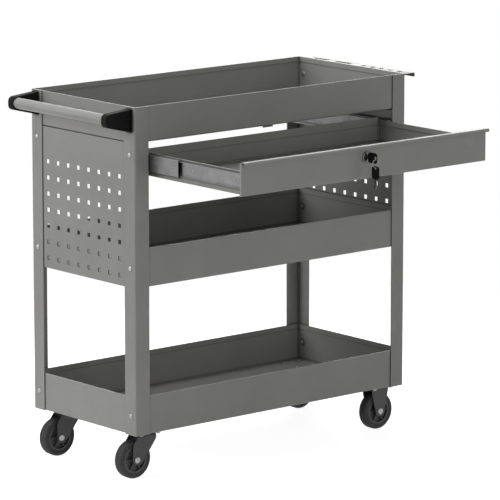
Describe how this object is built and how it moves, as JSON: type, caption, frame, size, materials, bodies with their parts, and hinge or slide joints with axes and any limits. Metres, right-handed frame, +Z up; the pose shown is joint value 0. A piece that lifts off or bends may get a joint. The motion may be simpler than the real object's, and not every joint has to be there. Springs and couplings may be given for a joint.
{
  "type": "utility cart",
  "caption": "Grey steel utility cart with open trays, a locking drawer on ball-bearing slides, perforated ends, a tool holder, a push handle, and swivel and rigid casters.",
  "frame": {"origin": "on the floor, under the middle of the four corner posts", "axes": "+X from the push handle to the tool holder, +Y from the drawer side to the back, +Z up"},
  "size_m": [0.9372, 0.749, 0.87],
  "materials": {
    "grey_paint": "satin powder coat",
    "black_plastic": "fine-grained moulding",
    "tyre_rubber": "matt",
    "hub_plastic": "moulded",
    "slide_zinc": "zinc plate gone dull",
    "caster_black": "black paint over pressed steel",
    "fastener_zinc": "dull zinc plate",
    "lock_nickel": "dark nickel plate"
  },
  "bodies": {
    "cart": {"axle_back_right": "fastener_zinc", "axle_front_right": "fastener_zinc", "bottom_tray": "grey_paint", "caster_bolts": "fastener_zinc", "caster_fork_back_right": "caster_black", "caster_fork_front_right": "caster_black", "caster_nuts": "fastener_zinc", "caster_plate_back_left": "caster_black", "caster_plate_front_left": "caster_black", "handle_bolts": "fastener_zinc", "handle_bracket_back": "black_plastic", "handle_bracket_front": "black_plastic", "handle_tube": "grey_paint", "kingpin_back_left": "fastener_zinc", "kingpin_front_left": "fastener_zinc", "lock_strike": "grey_paint", "middle_tray": "grey_paint", "peg_panel_left": "grey_paint", "peg_panel_right": "grey_paint", "post_back_left": "grey_paint", "post_back_right": "grey_paint", "post_front_left": "grey_paint", "post_front_right": "grey_paint", "slide_hanger_left": "grey_paint", "slide_hanger_right": "grey_paint", "slide_outer_left": "slide_zinc", "slide_outer_right": "slide_zinc", "tool_holder": "grey_paint", "top_tray": "grey_paint", "tray_bolts": "fastener_zinc", "tray_nuts": "fastener_zinc"},
    "drawer": {"drawer_box": "grey_paint", "drawer_front": "grey_paint", "slide_inner_left": "slide_zinc", "slide_inner_right": "slide_zinc", "lock_body": "lock_nickel", "lock_nut": "fastener_zinc"},
    "left_slide_middle": {"slide_middle_left": "slide_zinc"},
    "right_slide_middle": {"slide_middle_right": "slide_zinc"},
    "outer_ball_cages": {"ball_cages_outer": "slide_zinc"},
    "inner_ball_cages": {"ball_cages_inner": "slide_zinc"},
    "lock_turning_parts": {"lock_plug": "lock_nickel", "lock_cam": "fastener_zinc", "cam_retainer": "fastener_zinc", "lock_key": "black_plastic"},
    "hanging_keys": {"key_ring": "fastener_zinc", "spare_key": "black_plastic"},
    "swivel_fork_front_left": {"caster_fork_front_left": "caster_black", "axle_front_left": "fastener_zinc"},
    "wheel_front_left": {"tyre_front_left": "tyre_rubber", "hub_front_left": "hub_plastic"},
    "swivel_fork_back_left": {"caster_fork_back_left": "caster_black", "axle_back_left": "fastener_zinc"},
    "wheel_back_left": {"tyre_back_left": "tyre_rubber", "hub_back_left": "hub_plastic"},
    "wheel_front_right": {"tyre_front_right": "tyre_rubber", "hub_front_right": "hub_plastic"},
    "wheel_back_right": {"tyre_back_right": "tyre_rubber", "hub_back_right": "hub_plastic"}
  },
  "joints": [
    {"name": "drawer_slide", "type": "slide", "parent": "cart", "child": "drawer", "axis": [0, -1, 0], "range_m": [-0.322, 0.028]},
    {"name": "left_slide_middle_travel", "type": "slide", "parent": "cart", "child": "left_slide_middle", "axis": [0, -1, 0], "range_m": [-0.10733, 0.00933]},
    {"name": "right_slide_middle_travel", "type": "slide", "parent": "cart", "child": "right_slide_middle", "axis": [0, -1, 0], "range_m": [-0.10733, 0.00933]},
    {"name": "outer_ball_cage_travel", "type": "slide", "parent": "cart", "child": "outer_ball_cages", "axis": [0, -1, 0], "range_m": [-0.05367, 0.00467]},
    {"name": "inner_ball_cage_travel", "type": "slide", "parent": "cart", "child": "inner_ball_cages", "axis": [0, -1, 0], "range_m": [-0.21467, 0.01867]},
    {"name": "lock_turn", "type": "hinge", "parent": "drawer", "child": "lock_turning_parts", "pos_m": [0, -0.5145, 0.755], "axis": [0, -1, 0], "range_deg": [0, 90]},
    {"name": "key_swing", "type": "hinge", "parent": "lock_turning_parts", "child": "hanging_keys", "pos_m": [0, -0.5445, 0.75215], "axis": [-1, 0, 0], "range_deg": [-14, 35]},
    {"name": "swivel_front_left", "type": "hinge", "parent": "cart", "child": "swivel_fork_front_left", "pos_m": [-0.3535, -0.1425, 0.1012], "axis": [0, 0, 1], "continuous": true},
    {"name": "spin_front_left", "type": "hinge", "parent": "swivel_fork_front_left", "child": "wheel_front_left", "pos_m": [-0.3845, -0.1425, 0.045], "axis": [0, 1, 0], "continuous": true},
    {"name": "swivel_back_left", "type": "hinge", "parent": "cart", "child": "swivel_fork_back_left", "pos_m": [-0.3535, 0.1425, 0.1012], "axis": [0, 0, 1], "continuous": true},
    {"name": "spin_back_left", "type": "hinge", "parent": "swivel_fork_back_left", "child": "wheel_back_left", "pos_m": [-0.3845, 0.1425, 0.045], "axis": [0, 1, 0], "continuous": true},
    {"name": "spin_front_right", "type": "hinge", "parent": "cart", "child": "wheel_front_right", "pos_m": [0.3685, -0.1425, 0.045], "axis": [0, 1, 0], "continuous": true},
    {"name": "spin_back_right", "type": "hinge", "parent": "cart", "child": "wheel_back_right", "pos_m": [0.3685, 0.1425, 0.045], "axis": [0, 1, 0], "continuous": true}
  ],
  "couplings": [
    {"joint": "left_slide_middle_travel", "follows": "drawer_slide", "ratio": 0.33333},
    {"joint": "right_slide_middle_travel", "follows": "drawer_slide", "ratio": 0.33333},
    {"joint": "outer_ball_cage_travel", "follows": "drawer_slide", "ratio": 0.16667},
    {"joint": "inner_ball_cage_travel", "follows": "drawer_slide", "ratio": 0.66667}
  ]
}
